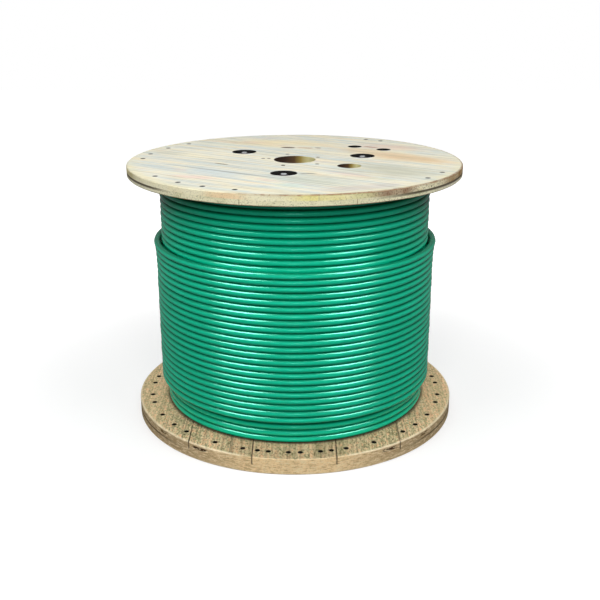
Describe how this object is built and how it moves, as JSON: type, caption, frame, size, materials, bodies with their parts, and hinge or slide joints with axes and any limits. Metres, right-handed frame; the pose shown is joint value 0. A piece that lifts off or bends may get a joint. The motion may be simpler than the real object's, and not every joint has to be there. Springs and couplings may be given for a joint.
{
  "type": "wooden cable reel",
  "caption": "Two-flange wooden cable reel, its staved barrel wound with green insulated cable, with arbor, drive and start holes.",
  "frame": {"origin": "centre of the lower flange's underside, on the reel's axis", "axes": "+Z along the reel's axis, from the lower flange to the upper one; -Y is the side where the turns lie level, +Y the side where they step up"},
  "size_m": [0.61, 0.61, 0.481],
  "materials": {
    "top_flange_wood": "weathered pale softwood",
    "bottom_flange_wood": "rough sawn softwood",
    "barrel_wood": "rough sawn softwood",
    "zinc_steel": "zinc plated",
    "dark_steel": "black oxide",
    "nail_steel": "dark weathered steel",
    "cable_jacket": "glossy extruded jacket"
  },
  "bodies": {
    "root": {"top_outer_board_1": "top_flange_wood", "top_outer_board_2": "top_flange_wood", "top_outer_board_3": "top_flange_wood", "top_outer_board_4": "top_flange_wood", "top_outer_board_5": "top_flange_wood", "top_inner_board_1": "top_flange_wood", "top_inner_board_2": "top_flange_wood", "top_inner_board_3": "top_flange_wood", "top_inner_board_4": "top_flange_wood", "top_inner_board_5": "top_flange_wood", "bottom_inner_board_1": "bottom_flange_wood", "bottom_inner_board_2": "bottom_flange_wood", "bottom_inner_board_3": "bottom_flange_wood", "bottom_inner_board_4": "bottom_flange_wood", "bottom_inner_board_5": "bottom_flange_wood", "bottom_outer_board_1": "bottom_flange_wood", "bottom_outer_board_2": "bottom_flange_wood", "bottom_outer_board_3": "bottom_flange_wood", "bottom_outer_board_4": "bottom_flange_wood", "barrel_stave_1": "barrel_wood", "barrel_stave_2": "barrel_wood", "barrel_stave_3": "barrel_wood", "barrel_stave_4": "barrel_wood", "barrel_stave_5": "barrel_wood", "barrel_stave_6": "barrel_wood", "barrel_stave_7": "barrel_wood", "barrel_stave_8": "barrel_wood", "barrel_stave_9": "barrel_wood", "barrel_stave_10": "barrel_wood", "barrel_stave_11": "barrel_wood", "barrel_stave_12": "barrel_wood", "barrel_stave_13": "barrel_wood", "barrel_stave_14": "barrel_wood", "barrel_stave_15": "barrel_wood", "barrel_stave_16": "barrel_wood", "tie_bolt_1": "zinc_steel", "tie_bolt_2": "zinc_steel", "tie_bolt_3": "zinc_steel", "tie_bolt_nuts": "dark_steel", "top_washers": "dark_steel", "bottom_washers": "dark_steel", "top_rim_nails": "nail_steel", "top_hub_nails": "nail_steel", "bottom_rim_nails": "nail_steel", "wound_core": "cable_jacket", "cable_lower_turns": "cable_jacket", "cable_outer_turns": "cable_jacket", "cable_upper_turns": "cable_jacket"}
  },
  "joints": []
}
